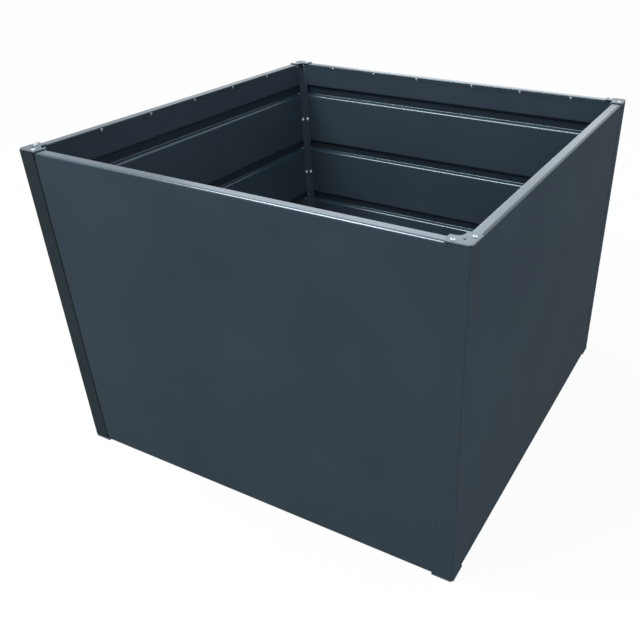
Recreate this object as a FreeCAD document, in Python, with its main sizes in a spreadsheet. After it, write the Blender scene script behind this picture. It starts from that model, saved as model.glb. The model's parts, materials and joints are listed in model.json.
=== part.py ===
import FreeCAD, Part
import os

import Sketcher
from FreeCAD import Placement, Rotation, Vector

# Raised garden bed: four double-skinned sheet-metal walls between four folded corner posts,
# tied together by flat L-shaped plates on top and by L-shaped foot plates below. It is open at
# the top and at the bottom.
#
# Millimetres. The origin is on the ground under the middle of the bed, +Z is up, +X runs along
# the front wall to the right and +Y runs from the front wall to the back wall.
#
# Wall frame: x along the wall from its middle, y inwards from its outer face, z up.
# Corner frame: x and y inwards from the outer corner along the two walls, z up.

# ---------------------------------------------------------------------------------------------
# Driving dimensions
# ---------------------------------------------------------------------------------------------

SIZES = (
    # name, millimetres or degrees, what it measures
    ("bed_width", 1030, "outer face to outer face, left to right"),
    ("bed_depth", 1030, "outer face to outer face, front to back"),
    ("bed_height", 770, "ground to the top of the corner plates"),
    ("wall_thickness", 24, "outer face to inner face of the rim"),
    ("panel_sheet", 0.8, "sheet of the outer panels"),
    ("liner_sheet", 0.6, "sheet of the inner liners"),
    ("post_sheet", 1.2, "sheet of the corner posts"),
    ("angle_sheet", 1, "sheet of the inner corner angles"),
    ("bend_radius", 1.8, "inside radius of every fold"),
    ("rim_lip", 11, "height of the rim's lip on the inner side"),
    ("lip_gap", 0.5, "between the lips of two walls in the inner corner"),
    ("mitre_gap", 8.5, "how far the rim stands back from the diagonal of the corner"),
    ("liner_gap", 0.3, "around the edges of a liner"),
    ("post_strip", 17, "how far a post's face reaches past the wall's inner face"),
    ("post_lip_gap", 3, "from the wall's inner face to a post's lip"),
    ("post_lip_relief", 18, "how far a post's lips stop short of its ends"),
    ("seam_gap", 0.8, "between a post and a panel"),
    ("seam_notch_width", 3, "relief at the ends of a seam"),
    ("seam_notch_height", 12, "relief at the ends of a seam"),
    ("side_flange", 9, "depth of the fold along a panel's side"),
    ("bead_count", 4, "pressed beads in a liner"),
    ("bead_first", 83, "bed's top to the middle of the first bead"),
    ("bead_pitch", 176, "from bead to bead"),
    ("bead_mouth", 32, "height of a bead where it is open"),
    ("bead_depth", 11, "how deep a bead is pressed"),
    ("bead_draft", 23, "slope of a bead's sides, in degrees"),
    ("bead_round", 9, "radius of a bead's corners"),
    ("bead_tuck", 8, "how far a bead runs on behind an inner corner angle"),
    ("angle_leg", 17, "width of an inner corner angle's leg"),
    ("post_notch_gap", 1, "between a bead and the notch for it in a post"),
    ("plate_thickness", 2.5, "top corner plates"),
    ("plate_overhang", 1, "how far a top plate stands out of the walls"),
    ("plate_lap", 3, "how far a top plate reaches past the rim's inner edge"),
    ("plate_reach", 8, "how far a plate's leg reaches past the post"),
    ("plate_chamfer", 6, "cut on a plate's outer corner"),
    ("plate_fillet", 13, "radius of a plate's inner corner"),
    ("plate_round", 2, "radius of a plate's other corners"),
    ("anchor_radius", 2.5, "hole in the middle of a plate's corner"),
    ("anchor_setback", 4.5, "from the wall's inner face to that hole"),
    ("foot_thickness", 4, "foot plates"),
    ("foot_overhang", 1.5, "how far a foot stands out of the walls"),
    ("screw_radius", 2.5, "shank"),
    ("screw_length", 12, "under the head, or over all with a countersunk head"),
    ("screw_head_radius", 4.75, "domed head"),
    ("screw_head_height", 2.7, "domed head"),
    ("screw_head_rim", 0.7, "straight side of the domed head"),
    ("screw_socket", 3, "hexagon socket, across its flats"),
    ("screw_socket_depth", 1.4, "hexagon socket"),
    ("screw_clearance", 0.25, "shank to hole, on the radius"),
    ("screw_edge", 8.5, "plate screws, from the wall's outer face"),
    ("screw_offset", 10.3, "inner corner screws, from the wall's inner face"),
    ("screw_first", 174, "bed's top to the first pair of inner corner screws"),
    ("sink_radius", 5, "countersunk head in the face of a foot"),
    ("sink_recess", 0.15, "how far that head lies under the face of the foot"),
    ("nut_width", 8, "across the flats"),
    ("nut_height", 4, "hexagon nut"),
    ("nut_gap", 0.3, "between a nut and a post's fold"),
    ("nut_fit", 0.05, "shank to nut, on the radius"),
    ("rivet_radius", 2, "shank"),
    ("rivet_head_radius", 3.75, "domed head"),
    ("rivet_head_height", 1.3, "domed head"),
    ("rivet_bulb_radius", 2.9, "swelled end behind the liner"),
    ("rivet_bulb_height", 3.5, "swelled end behind the liner"),
    ("rivet_clearance", 0.05, "shank to hole, on the radius"),
    ("rivet_drop", 6.2, "rim's face to the row of rivets"),
    ("long_rivet_inset", 31, "front and back walls: outer corner to the end rivet"),
    ("long_rivet_end", 109, "front and back walls: end rivet to the next one"),
    ("long_rivet_middle", 174, "front and back walls: across the middle of the wall"),
    ("side_rivet_inset", 44, "left and right walls: outer corner to the end rivet"),
)

WALLS = (
    # name, half turns of a right angle, the sheet's size along the wall and across to the other
    ("front", 0, "bed_width", "bed_depth"),
    ("right", 1, "bed_depth", "bed_width"),
    ("back", 2, "bed_width", "bed_depth"),
    ("left", 3, "bed_depth", "bed_width"),
)

CORNERS = (
    # name, right angles turned, side in X, side in Y
    ("front_left", 0, -1, -1),
    ("front_right", 1, 1, -1),
    ("back_right", 2, 1, 1),
    ("back_left", 3, -1, 1),
)

RIGHT_ANGLE = 90
HEXAGON = 6
COS_30 = 0.8660254037844386
TOLERANCE = 1e-4


# ---------------------------------------------------------------------------------------------
# Sizes that carry their number and the formula that binds them to the sheet
# ---------------------------------------------------------------------------------------------


class Size:
    """A length, with its number and its formula in the sheet's names."""

    def __init__(self, number, formula):
        self.number = float(number)
        self.formula = formula

    @staticmethod
    def of(thing):
        return thing if isinstance(thing, Size) else Size(thing, repr(float(thing)))

    def __add__(self, other):
        other = Size.of(other)
        return Size(self.number + other.number, f"({self.formula} + {other.formula})")

    def __radd__(self, other):
        return Size.of(other) + self

    def __sub__(self, other):
        other = Size.of(other)
        return Size(self.number - other.number, f"({self.formula} - {other.formula})")

    def __rsub__(self, other):
        return Size.of(other) - self

    def __mul__(self, other):
        other = Size.of(other)
        return Size(self.number * other.number, f"({self.formula} * {other.formula})")

    __rmul__ = __mul__

    def __truediv__(self, other):
        other = Size.of(other)
        return Size(self.number / other.number, f"({self.formula} / {other.formula})")

    def __neg__(self):
        return Size(-self.number, f"(-{self.formula})")


class Sheet:
    """The spreadsheet of driving dimensions, read by name as sizes."""

    def __init__(self, doc):
        self.cells = doc.addObject("Spreadsheet::Sheet", "Sizes")
        for row, (name, number, note) in enumerate(SIZES, start=1):
            self.cells.set(f"A{row}", name)
            self.cells.set(f"B{row}", str(number))
            self.cells.set(f"C{row}", note)
            self.cells.setAlias(f"B{row}", name)
            setattr(self, name, Size(number, f"Sizes.{name}"))
        doc.recompute()


def bind(thing, path, size):
    """Binds one property of an object to a size."""
    thing.setExpression(path, Size.of(size).formula)


# ---------------------------------------------------------------------------------------------
# Sketches and features
# ---------------------------------------------------------------------------------------------


def new_body(doc, label):
    body = doc.addObject("PartDesign::Body", "Body_" + label)
    body.Label = label
    return body


def sketch_on(body, name, plane, offset=None):
    """A sketch on one of the body's own planes, moved along that plane's normal by offset."""
    sketch = body.newObject("Sketcher::SketchObject", name)
    origin_plane = next(f for f in body.Origin.OriginFeatures if f.Role == plane)
    sketch.AttachmentSupport = [(origin_plane, "")]
    sketch.MapMode = "FlatFace"
    if offset is not None:
        bind(sketch, "AttachmentOffset.Base.z", offset)
    return sketch


def hold(sketch, geometry, point, place):
    """Holds one point of a sketch at its distances from the sketch's origin."""
    for direction, size in zip(("DistanceX", "DistanceY"), place):
        size = Size.of(size)
        index = sketch.addConstraint(Sketcher.Constraint(direction, geometry, point, size.number))
        bind(sketch, f"Constraints[{index}]", size)


def draw_polygon(sketch, corners):
    """A closed outline of straight lines through corners, each held by two sizes."""
    corners = [(Size.of(x), Size.of(y)) for x, y in corners]
    points = [Vector(x.number, y.number, 0) for x, y in corners]
    first = sketch.GeometryCount
    for start, end in zip(points, points[1:] + points[:1]):
        sketch.addGeometry(Part.LineSegment(start, end), False)
    count = len(corners)
    for step, corner in enumerate(corners):
        following = first + (step + 1) % count
        sketch.addConstraint(Sketcher.Constraint("Coincident", first + step, 2, following, 1))
        hold(sketch, first + step, 1, corner)


def draw_box(sketch, low_x, high_x, low_y, high_y):
    draw_polygon(sketch, [(low_x, low_y), (high_x, low_y), (high_x, high_y), (low_x, high_y)])


def draw_circles(sketch, centres, radius):
    """Equal circles, each centre held by two sizes."""
    for x, y in centres:
        centre = Vector(Size.of(x).number, Size.of(y).number, 0)
        index = sketch.addGeometry(Part.Circle(centre, Vector(0, 0, 1), radius.number), False)
        hold(sketch, index, 3, (x, y))
        dimension = sketch.addConstraint(Sketcher.Constraint("Radius", index, radius.number))
        bind(sketch, f"Constraints[{dimension}]", radius)


def draw_rounded_box(sketch, half_width, middle, half_height, radius):
    """A rounded box centred on x = 0 and y = middle: lines 0, 2, 4, 6 and arcs 1, 3, 5, 7."""
    wide, tall, bend = half_width.number, half_height.number, radius.number
    centre = middle.number
    turns = ((1, -1, 270, 360), (1, 1, 0, 90), (-1, 1, 90, 180), (-1, -1, 180, 270))
    arcs = []
    for sign_x, sign_y, start, end in turns:
        hub = Vector(sign_x * (wide - bend), centre + sign_y * (tall - bend), 0)
        circle = Part.Circle(hub, Vector(0, 0, 1), bend)
        radians = (FreeCAD.Units.Quantity(f"{angle} deg").getValueAs("rad") for angle in (start, end))
        arcs.append(Part.ArcOfCircle(circle, *(angle.Value for angle in radians)))
    for step, arc in enumerate(arcs):
        line = Part.LineSegment(arcs[step - 1].EndPoint, arc.StartPoint)
        sketch.addGeometry(line, False)
        sketch.addGeometry(arc, False)
    for step in range(0, 8, 2):
        sketch.addConstraint(Sketcher.Constraint("Tangent", step, 2, step + 1, 1))
        sketch.addConstraint(Sketcher.Constraint("Tangent", step + 1, 2, (step + 2) % 8, 1))
    for line in (0, 4):
        sketch.addConstraint(Sketcher.Constraint("Horizontal", line))
    for line in (2, 6):
        sketch.addConstraint(Sketcher.Constraint("Vertical", line))
    for arc in (3, 5, 7):
        sketch.addConstraint(Sketcher.Constraint("Equal", 1, arc))
    dimensions = (
        ("Radius", (1,), radius),
        ("DistanceY", (0, 1), middle - half_height),
        ("DistanceX", (2, 1), half_width),
        ("DistanceY", (4, 1), middle + half_height),
        ("DistanceX", (6, 1), -half_width),
    )
    for kind, where, size in dimensions:
        index = sketch.addConstraint(Sketcher.Constraint(kind, *where, size.number))
        bind(sketch, f"Constraints[{index}]", size)


def pad(body, name, sketch, length, reverse=False, symmetric=False, draft=None):
    feature = body.newObject("PartDesign::Pad", name)
    feature.Profile = sketch
    bind(feature, "Length", length)
    feature.Reversed = reverse
    if symmetric:
        feature.SideType = "Symmetric"
    if draft is not None:
        bind(feature, "TaperAngle", draft)
    return feature


def pocket(body, name, sketch, length, reverse=False, symmetric=False, draft=None):
    feature = body.newObject("PartDesign::Pocket", name)
    feature.Profile = sketch
    bind(feature, "Length", length)
    feature.Reversed = reverse
    if symmetric:
        feature.SideType = "Symmetric"
    if draft is not None:
        bind(feature, "TaperAngle", draft)
    return feature


def repeat_downwards(body, name, features, pitch, count):
    """Repeats features at even steps down the body's own Z axis."""
    row = body.newObject("PartDesign::LinearPattern", name)
    row.Originals = features
    vertical = next(f for f in body.Origin.OriginFeatures if f.Role == "Z_Axis")
    row.Direction = (vertical, [""])
    row.Reversed = True
    row.Mode = "Spacing"
    bind(row, "Offset", pitch)
    bind(row, "Occurrences", count)
    body.Tip = row
    return row


def edges_along(shape, axis, places):
    """Names of the straight edges along an axis (0, 1, 2) that pass through one of the places.

    A place is the pair of the other two coordinates, in their own order.
    """
    others = [k for k in range(3) if k != axis]
    spots = [[Size.of(size).number for size in place] for place in places]
    found = []
    for number, edge in enumerate(shape.Edges, start=1):
        ends = [vertex.Point for vertex in edge.Vertexes]
        if len(ends) != 2 or not isinstance(edge.Curve, Part.Line):
            continue
        for spot in spots:
            misses = [abs(end[k] - value) for end in ends for k, value in zip(others, spot)]
            if max(misses) < TOLERANCE:
                found.append(f"Edge{number}")
    if len(found) < len(spots):
        raise RuntimeError("an edge to be rounded is missing")
    return found


def round_edges(body, name, base, axis, places, radius):
    """Rounds the edges along an axis at the places given."""
    body.Document.recompute()
    feature = body.newObject("PartDesign::Fillet", name)
    feature.Base = (base, edges_along(base.Shape, axis, places))
    bind(feature, "Radius", radius)
    body.Document.recompute()
    return feature


# ---------------------------------------------------------------------------------------------
# Places
# ---------------------------------------------------------------------------------------------


class Bed:
    """The heights, depths and places that several pieces share."""

    def __init__(self, size):
        self.size = size
        self.base = size.foot_thickness
        self.rim = size.bed_height - size.plate_thickness
        self.lip_face = size.wall_thickness - size.panel_sheet
        self.liner_back = self.lip_face - size.liner_sheet
        self.post_leg = size.wall_thickness + size.post_strip
        self.bead_inset = self.lip_face + size.angle_leg - size.bead_tuck
        self.nut_radius = size.nut_width / (2 * COS_30)
        self.screw_along = (
            self.post_leg - size.post_sheet - size.nut_gap - size.nut_width / 2
        )
        self.anchor = size.wall_thickness - size.anchor_setback
        self.screw_hole = size.screw_radius + size.screw_clearance
        self.rivet_hole = size.rivet_radius + size.rivet_clearance

    def plate_screws(self):
        """The two screws of a corner plate, in the corner frame."""
        return ((self.screw_along, self.size.screw_edge), (self.size.screw_edge, self.screw_along))

    def bead_height(self, step):
        return self.size.bed_height - self.size.bead_first - self.size.bead_pitch * step

    def corner_screw_heights(self):
        """One pair of screws below each bead."""
        first = self.size.bed_height - self.size.screw_first
        return [first - self.size.bead_pitch * step for step in range(int(self.size.bead_count.number))]

    def rivet_rows(self):
        """Heights of the two rows of rivets: through the top lip and through the bottom lip."""
        return (self.rim - self.size.rivet_drop, self.base + self.size.rivet_drop)

    def rivet_stations(self, wall):
        """Places of the rivets along a wall, from its middle."""
        size = self.size
        if wall in ("front", "back"):
            end = size.bed_width / 2 - size.long_rivet_inset
            middle = size.long_rivet_middle / 2
            pitch = (end - size.long_rivet_end - middle) / 2
            half = [middle, middle + pitch, middle + pitch * 2, end]
            return [-place for place in half] + half
        end = size.bed_depth / 2 - size.side_rivet_inset
        half = [end / 3, end * 2 / 3, end]
        return [-place for place in half] + [Size.of(0)] + half


def place_at_wall(thing, size, turns, across):
    """Puts a piece made in the wall frame on its wall."""
    out = getattr(size, across) / 2
    thing.Placement = Placement(Vector(), Rotation(Vector(0, 0, 1), RIGHT_ANGLE * turns))
    sides = ((0, -1), (1, 0), (0, 1), (-1, 0))[turns]
    bind(thing, "Placement.Base.x", out * sides[0])
    bind(thing, "Placement.Base.y", out * sides[1])


def place_at_corner(thing, size, turns, side_x, side_y):
    """Puts a piece made in the corner frame on its corner."""
    thing.Placement = Placement(Vector(), Rotation(Vector(0, 0, 1), RIGHT_ANGLE * turns))
    bind(thing, "Placement.Base.x", size.bed_width / 2 * side_x)
    bind(thing, "Placement.Base.y", size.bed_depth / 2 * side_y)


# ---------------------------------------------------------------------------------------------
# Walls
# ---------------------------------------------------------------------------------------------


def outer_panel(doc, bed, label, along, stations):
    """Folded sheet: a plain face, a flange and a lip along the top and bottom, two side folds."""
    size = bed.size
    length = getattr(size, along)
    half = length / 2
    sheet, wall, lip = size.panel_sheet, size.wall_thickness, size.rim_lip
    base, rim = bed.base, bed.rim
    side = half - bed.post_leg - size.seam_gap
    outer_bend = size.bend_radius + sheet
    body = new_body(doc, label)

    section = sketch_on(body, label + "_section", "YZ_Plane")
    draw_polygon(
        section,
        [
            (0, base),
            (wall, base),
            (wall, base + lip),
            (bed.lip_face, base + lip),
            (bed.lip_face, base + sheet),
            (sheet, base + sheet),
            (sheet, rim - sheet),
            (bed.lip_face, rim - sheet),
            (bed.lip_face, rim - lip),
            (wall, rim - lip),
            (wall, rim),
            (0, rim),
        ],
    )
    channel = pad(body, label + "_channel", section, length, symmetric=True)
    inside = [(y, z) for y in (sheet, bed.lip_face) for z in (base + sheet, rim - sheet)]
    inner = round_edges(body, label + "_inner_bends", channel, 0, inside, size.bend_radius)
    outside = [(y, z) for y in (0, wall) for z in (base, rim)]
    round_edges(body, label + "_outer_bends", inner, 0, outside, outer_bend)

    # The face stops short of the corner posts, with a relief notch at each end of the seam.
    notch_side = side - size.seam_notch_width
    notch_low = base + sheet + size.seam_notch_height
    notch_high = rim - sheet - size.seam_notch_height
    bays = sketch_on(body, label + "_bays", "XZ_Plane")
    for sign in (-1, 1):
        draw_polygon(
            bays,
            [
                (half * sign, base + sheet),
                (notch_side * sign, base + sheet),
                (notch_side * sign, notch_low),
                (side * sign, notch_low),
                (side * sign, notch_high),
                (notch_side * sign, notch_high),
                (notch_side * sign, rim - sheet),
                (half * sign, rim - sheet),
            ],
        )
    pocket(body, label + "_post_bays", bays, wall / 2)

    # The flanges and lips end on a line beside the diagonal of each corner.
    lip_end = wall + size.lip_gap
    ends = sketch_on(body, label + "_ends", "XY_Plane")
    for sign in (-1, 1):
        draw_polygon(
            ends,
            [
                (half * sign, 0),
                ((half - size.mitre_gap) * sign, 0),
                ((half - lip_end) * sign, lip_end - size.mitre_gap),
                ((half - lip_end) * sign, wall),
                (half * sign, wall),
            ],
        )
    pocket(body, label + "_mitres", ends, rim, reverse=True)

    # Side folds between the notches.
    folds = sketch_on(body, label + "_folds", "XY_Plane", offset=notch_low)
    for sign in (-1, 1):
        draw_polygon(
            folds,
            [
                (side * sign, 0),
                (side * sign, size.side_flange),
                ((side - sheet) * sign, size.side_flange),
                ((side - sheet) * sign, 0),
            ],
        )
    flanges = pad(body, label + "_side_folds", folds, notch_high - notch_low)
    fold_roots = [((side - sheet) * sign, sheet) for sign in (-1, 1)]
    roots = round_edges(body, label + "_fold_roots", flanges, 2, fold_roots, size.bend_radius)
    seams = [(side * sign, 0) for sign in (-1, 1)]
    round_edges(body, label + "_seam_bends", roots, 2, seams, outer_bend)

    # Holes: plate screws through both flanges, rivets through both lips.
    screws = sketch_on(body, label + "_screw_places", "XY_Plane")
    places = [((half - bed.screw_along) * sign, size.screw_edge) for sign in (-1, 1)]
    draw_circles(screws, places, bed.screw_hole)
    pocket(body, label + "_screw_holes", screws, rim, reverse=True)
    rivets = sketch_on(body, label + "_rivet_places", "XZ_Plane", offset=-wall)
    draw_circles(rivets, [(x, z) for x in stations for z in bed.rivet_rows()], bed.rivet_hole)
    pocket(body, label + "_rivet_holes", rivets, sheet, reverse=True)
    return body


def inner_liner(doc, bed, label, along, stations):
    """Flat sheet behind the lips, stiffened by pressed beads that end behind the corner angles."""
    size = bed.size
    half = getattr(size, along) / 2
    side = half - bed.lip_face - size.liner_gap
    clear = size.panel_sheet + size.bend_radius + size.liner_gap
    face = bed.lip_face
    body = new_body(doc, label)

    outline = sketch_on(body, label + "_outline", "XZ_Plane", offset=-face)
    draw_box(outline, -side, side, bed.base + clear, bed.rim - clear)
    pad(body, label + "_sheet", outline, size.liner_sheet)

    bead_end = half - bed.bead_inset
    half_mouth = size.bead_mouth / 2
    top_bead = bed.bead_height(0)
    skin = size.liner_sheet
    shells = sketch_on(body, label + "_bead_outline", "XZ_Plane", offset=-face)
    draw_rounded_box(shells, bead_end + skin, top_bead, half_mouth + skin, size.bead_round + skin)
    shell = pad(
        body, label + "_bead", shells, size.bead_depth + skin, draft=-size.bead_draft
    )
    mouths = sketch_on(body, label + "_mouth_outline", "XZ_Plane", offset=-face)
    draw_rounded_box(mouths, bead_end, top_bead, half_mouth, size.bead_round)
    mouth = pocket(
        body, label + "_mouth", mouths, size.bead_depth, reverse=True, draft=-size.bead_draft
    )
    repeat_downwards(body, label + "_bead_row", [shell, mouth], size.bead_pitch, size.bead_count)

    rivets = sketch_on(body, label + "_rivet_places", "XZ_Plane", offset=-face)
    draw_circles(rivets, [(x, z) for x in stations for z in bed.rivet_rows()], bed.rivet_hole)
    pocket(body, label + "_rivet_holes", rivets, skin * 2, symmetric=True)
    screws = sketch_on(body, label + "_screw_places", "XZ_Plane", offset=-face)
    screw_side = half - size.wall_thickness - size.screw_offset
    places = [(screw_side * sign, z) for sign in (-1, 1) for z in bed.corner_screw_heights()]
    draw_circles(screws, places, bed.screw_hole)
    pocket(body, label + "_screw_holes", screws, skin * 2, symmetric=True)
    return body


# ---------------------------------------------------------------------------------------------
# Corners
# ---------------------------------------------------------------------------------------------


def corner_post(doc, bed, label):
    """Folded post: two outer faces, two returns and two lips that the liners are screwed to."""
    size = bed.size
    sheet, leg, back = size.post_sheet, bed.post_leg, bed.liner_back
    clear = bed.lip_face - size.bend_radius
    low = bed.base + size.panel_sheet
    high = bed.rim - size.panel_sheet
    body = new_body(doc, label)

    section = sketch_on(body, label + "_section", "XY_Plane", offset=low)
    draw_polygon(
        section,
        [
            (0, 0),
            (leg, 0),
            (leg, clear),
            (leg - sheet, clear),
            (leg - sheet, sheet),
            (sheet, sheet),
            (sheet, leg - sheet),
            (clear, leg - sheet),
            (clear, leg),
            (0, leg),
        ],
    )
    shaft = pad(body, label + "_shaft", section, high - low)
    insides = [(sheet, sheet), (leg - sheet, sheet), (sheet, leg - sheet)]
    inner = round_edges(body, label + "_inner_bends", shaft, 2, insides, size.bend_radius)
    outsides = [(0, 0), (leg, 0), (0, leg)]
    outer_bend = size.bend_radius + sheet
    round_edges(body, label + "_outer_bends", inner, 2, outsides, outer_bend)

    lip_start = size.wall_thickness + size.post_lip_gap
    lip_low = low + size.post_lip_relief
    lip_section = [
        (lip_start, back),
        (leg, back),
        (leg, back / 2),
        (leg - sheet, back / 2),
        (leg - sheet, back - sheet),
        (lip_start, back - sheet),
    ]
    lips = sketch_on(body, label + "_lip_section", "XY_Plane", offset=lip_low)
    draw_polygon(lips, lip_section)
    draw_polygon(lips, [(y, x) for x, y in lip_section])
    pad(body, label + "_lips", lips, high - low - size.post_lip_relief * 2)

    # Notches in the returns and lips, where the liners' beads pass.
    room = size.liner_sheet + size.post_notch_gap
    near = bed.bead_inset - room
    deep = bed.lip_face - size.bead_depth - room
    tall = size.bead_mouth + room * 2
    notch_section = [(near, deep), (leg + room, deep), (leg + room, bed.lip_face), (near, bed.lip_face)]
    notches = sketch_on(
        body, label + "_notch_section", "XY_Plane", offset=bed.bead_height(0) - tall / 2
    )
    draw_polygon(notches, notch_section)
    draw_polygon(notches, [(y, x) for x, y in notch_section])
    notch = pocket(body, label + "_notches", notches, tall, reverse=True)
    repeat_downwards(body, label + "_notch_row", [notch], size.bead_pitch, size.bead_count)

    along = size.wall_thickness + size.screw_offset
    for plane, outwards in (("XZ_Plane", -1), ("YZ_Plane", 1)):
        places = [(along, z) for z in bed.corner_screw_heights()]
        screws = sketch_on(body, f"{label}_screws_{plane}", plane, offset=back * outwards)
        draw_circles(screws, places, bed.screw_hole)
        pocket(body, f"{label}_holes_{plane}", screws, sheet * 2, symmetric=True)
    return body


def corner_angle(doc, bed, label):
    """Narrow angle over the joint of two liners in the inner corner."""
    size = bed.size
    start, sheet = bed.lip_face, size.angle_sheet
    end = start + size.angle_leg
    low = bed.base + size.rim_lip + size.lip_gap
    high = bed.rim - size.rim_lip - size.lip_gap
    body = new_body(doc, label)
    section = sketch_on(body, label + "_section", "XY_Plane", offset=low)
    draw_polygon(
        section,
        [
            (start, start),
            (end, start),
            (end, start + sheet),
            (start + sheet, start + sheet),
            (start + sheet, end),
            (start, end),
        ],
    )
    strip = pad(body, label + "_strip", section, high - low)
    fold = [(start + sheet, start + sheet)]
    round_edges(body, label + "_fold", strip, 2, fold, size.bend_radius)
    along = size.wall_thickness + size.screw_offset
    for plane, outwards in (("XZ_Plane", -1), ("YZ_Plane", 1)):
        places = [(along, z) for z in bed.corner_screw_heights()]
        screws = sketch_on(body, f"{label}_screws_{plane}", plane, offset=start * outwards)
        draw_circles(screws, places, bed.screw_hole)
        pocket(body, f"{label}_holes_{plane}", screws, sheet * 4, symmetric=True)
    return body


def corner_plate(doc, bed, label, low, thickness, overhang):
    """Flat L-shaped plate with two screw holes and an anchor hole."""
    size = bed.size
    out = -overhang
    leg = bed.post_leg + size.plate_reach
    width = size.wall_thickness + size.plate_lap
    cut = size.plate_chamfer - overhang
    body = new_body(doc, label)
    outline = sketch_on(body, label + "_outline", "XY_Plane", offset=low)
    draw_polygon(
        outline,
        [
            (cut, out),
            (leg, out),
            (leg, width),
            (width, width),
            (width, leg),
            (out, leg),
            (out, cut),
        ],
    )
    blank = pad(body, label + "_blank", outline, thickness)
    inner = round_edges(
        body, label + "_inner_corner", blank, 2, [(width, width)], size.plate_fillet
    )
    tips = [(leg, out), (leg, width), (width, leg), (out, leg), (cut, out), (out, cut)]
    round_edges(body, label + "_tips", inner, 2, tips, size.plate_round)
    screws = sketch_on(body, label + "_screw_places", "XY_Plane", offset=low)
    draw_circles(screws, bed.plate_screws(), bed.screw_hole)
    pocket(body, label + "_screw_holes", screws, thickness, reverse=True)
    anchor = sketch_on(body, label + "_anchor_place", "XY_Plane", offset=low)
    draw_circles(anchor, [(bed.anchor, bed.anchor)], size.anchor_radius)
    pocket(body, label + "_anchor_hole", anchor, thickness, reverse=True)
    return body


def foot_plate(doc, bed, label):
    """A thicker corner plate under the walls, its screw holes countersunk from below."""
    size = bed.size
    body = corner_plate(doc, bed, label, Size.of(0), size.foot_thickness, size.foot_overhang)
    depth = size.sink_radius - bed.screw_hole
    sinks = sketch_on(body, label + "_sink_places", "XY_Plane")
    draw_circles(sinks, bed.plate_screws(), size.sink_radius)
    slope = 45
    pocket(body, label + "_sinks", sinks, depth, reverse=True, draft=Size.of(-slope))
    return body


# ---------------------------------------------------------------------------------------------
# Fasteners: one master of each kind, and a group of copies for each node
# ---------------------------------------------------------------------------------------------


def turned(doc, label, profile):
    """A body turned about its own Z axis from a profile of radius and height."""
    body = new_body(doc, label)
    sketch = sketch_on(body, label + "_profile", "XZ_Plane")
    draw_polygon(sketch, profile)
    feature = body.newObject("PartDesign::Revolution", label + "_turned")
    feature.Profile = sketch
    feature.ReferenceAxis = (sketch, ["V_Axis"])
    feature.Angle = 360
    return body


def hexagon(across_flats):
    """Corners of a hexagon about the origin."""
    radius = across_flats / (2 * COS_30)
    turns = ((1, 0), (0.5, COS_30), (-0.5, COS_30), (-1, 0), (-0.5, -COS_30), (0.5, -COS_30))
    return [(radius * x, radius * y) for x, y in turns]


def domed_screw(doc, bed):
    """Socket screw with a domed head. Its head stands on z = 0."""
    size = bed.size
    head, rise = size.screw_head_radius, size.screw_head_height
    shoulder = size.screw_head_rim
    swell = rise - shoulder
    profile = [
        (0, -size.screw_length),
        (size.screw_radius - 0.5, -size.screw_length),
        (size.screw_radius, -size.screw_length + 0.5),
        (size.screw_radius, 0),
        (head, 0),
        (head, shoulder),
        (head * 0.9, shoulder + swell * 0.44),
        (head * 0.7, shoulder + swell * 0.71),
        (head * 0.45, shoulder + swell * 0.89),
        (head * 0.3, rise),
        (0, rise),
    ]
    body = turned(doc, "domed_screw", profile)
    socket = sketch_on(body, "domed_screw_socket", "XY_Plane", offset=rise)
    draw_polygon(socket, hexagon(size.screw_socket))
    pocket(body, "domed_screw_recess", socket, size.screw_socket_depth)
    return body


def sunk_screw(doc, bed):
    """Socket screw with a countersunk head, whose wide face looks down from z = 0."""
    size = bed.size
    recess = size.sink_recess
    profile = [
        (0, recess),
        (size.sink_radius - recess, recess),
        (size.screw_radius, size.sink_radius - size.screw_radius),
        (size.screw_radius, size.screw_length - 0.5),
        (size.screw_radius - 0.5, size.screw_length),
        (0, size.screw_length),
    ]
    body = turned(doc, "sunk_screw", profile)
    socket = sketch_on(body, "sunk_screw_socket", "XY_Plane", offset=recess)
    draw_polygon(socket, hexagon(size.screw_socket))
    pocket(body, "sunk_screw_recess", socket, size.screw_socket_depth, reverse=True)
    return body


def hex_nut(doc, bed):
    """Nut that hangs below z = 0."""
    size = bed.size
    body = new_body(doc, "hex_nut")
    outline = sketch_on(body, "hex_nut_outline", "XY_Plane")
    draw_polygon(outline, hexagon(size.nut_width))
    draw_circles(outline, [(0, 0)], size.screw_radius + size.nut_fit)
    pad(body, "hex_nut_blank", outline, size.nut_height, reverse=True)
    return body


def blind_rivet(doc, bed):
    """Rivet with a domed head on z = 0 and its swelled end under the two sheets."""
    size = bed.size
    grip = size.panel_sheet + size.liner_sheet
    head, rise = size.rivet_head_radius, size.rivet_head_height
    profile = [
        (0, -grip - size.rivet_bulb_height),
        (size.rivet_bulb_radius * 0.6, -grip - size.rivet_bulb_height),
        (size.rivet_bulb_radius, -grip - size.rivet_bulb_height * 0.6),
        (size.rivet_bulb_radius, -grip),
        (size.rivet_radius, -grip),
        (size.rivet_radius, 0),
        (head, 0),
        (head * 0.93, rise * 0.4),
        (head * 0.7, rise * 0.78),
        (head * 0.35, rise),
        (0, rise),
    ]
    return turned(doc, "blind_rivet", profile)


def fastener_group(doc, label, copies):
    """One node of separate solids: copies of a master, each with a place and a turn."""
    links = []
    for number, (master, place, turn) in enumerate(copies, start=1):
        link = doc.addObject("App::Link", f"{label}_{number}")
        link.LinkedObject = master
        link.Placement = Placement(Vector(), turn)
        for direction, size in zip("xyz", place):
            bind(link, f"Placement.Base.{direction}", size)
        links.append(link)
    group = doc.addObject("Part::Compound", "Group_" + label)
    group.Label = label
    group.Links = links
    return group


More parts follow.
